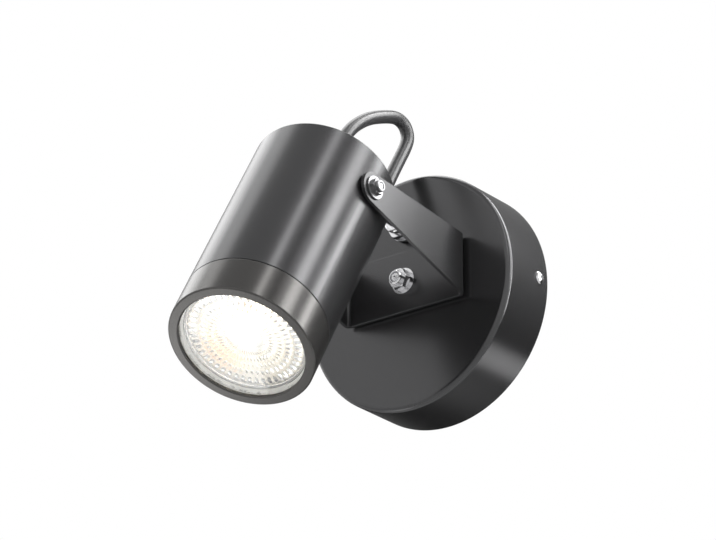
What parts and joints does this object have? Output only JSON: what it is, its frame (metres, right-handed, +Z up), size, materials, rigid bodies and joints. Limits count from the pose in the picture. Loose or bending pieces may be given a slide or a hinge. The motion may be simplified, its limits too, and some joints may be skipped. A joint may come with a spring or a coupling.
{
  "type": "pivoting spotlight wall light",
  "caption": "Round wall base with a swivelling U-bracket that carries a tilting cylindrical spotlight head, joined by a short looped lead between cable glands.",
  "frame": {"origin": "centre of the round base on the wall", "axes": "+Z up, -Y out of the wall into the room, the wall is the plane y = 0"},
  "size_m": [0.1056, 0.1599, 0.1523],
  "materials": {
    "steel_coat": "satin",
    "aluminium_coat": "satin",
    "chrome": "polished",
    "zinc": "satin",
    "brass": "satin",
    "rubber": "matte",
    "silicone": "satin",
    "lead": "satin",
    "core": "satin",
    "block": "matte",
    "glass": "gloss",
    "lens": "gloss",
    "lamp_shell": "satin",
    "led": "matte",
    "ceramic": "matte"
  },
  "bodies": {
    "base": {"base_cover": "steel_coat", "base_gasket": "rubber", "mounting_strap": "zinc", "cover_screws": "chrome", "terminal_block": "block", "terminal_screws": "brass", "block_screw": "zinc", "earth_washer": "zinc", "earth_screw": "brass", "swivel_bolt": "chrome", "swivel_spacer": "rubber", "swivel_washer": "chrome", "swivel_spring_washer": "chrome", "swivel_nut": "chrome", "base_gland_seal": "rubber", "base_gland_body": "chrome", "base_gland_cap": "chrome", "base_gland_locknut": "zinc", "base_lead_end": "lead", "base_cores": "core", "flex_lower": "lead"},
    "bracket": {"bracket": "steel_coat", "flex_upper": "lead"},
    "head": {"head_housing": "aluminium_coat", "front_ring": "aluminium_coat", "ring_seal": "rubber", "front_glass": "glass", "glass_seal": "silicone", "lamp_body": "lamp_shell", "lamp_lens": "lens", "lamp_led": "led", "lamp_pins": "zinc", "lamp_holder": "ceramic", "holder_carrier": "zinc", "carrier_screws": "zinc", "holder_screws": "zinc", "earth_eyelet": "zinc", "pivot_bolts": "chrome", "pivot_pads": "rubber", "pivot_washers": "chrome", "pivot_nuts": "chrome", "head_gland_seal": "rubber", "head_gland_body": "chrome", "head_gland_cap": "chrome", "head_gland_locknut": "zinc", "head_lead_end": "lead", "head_cores": "core"}
  },
  "joints": [
    {"name": "bracket_swivel", "type": "hinge", "parent": "base", "child": "bracket", "pos_m": [0, -0.02905, 0.004], "axis": [0, -1, 0], "range_deg": [-30, 30], "deforming": ["flex_lower"]},
    {"name": "head_tilt", "type": "hinge", "parent": "bracket", "child": "head", "pos_m": [0, -0.09175, 0.0152], "axis": [-1, 0, 0], "range_deg": [-30, 60], "deforming": ["flex_upper"]}
  ]
}
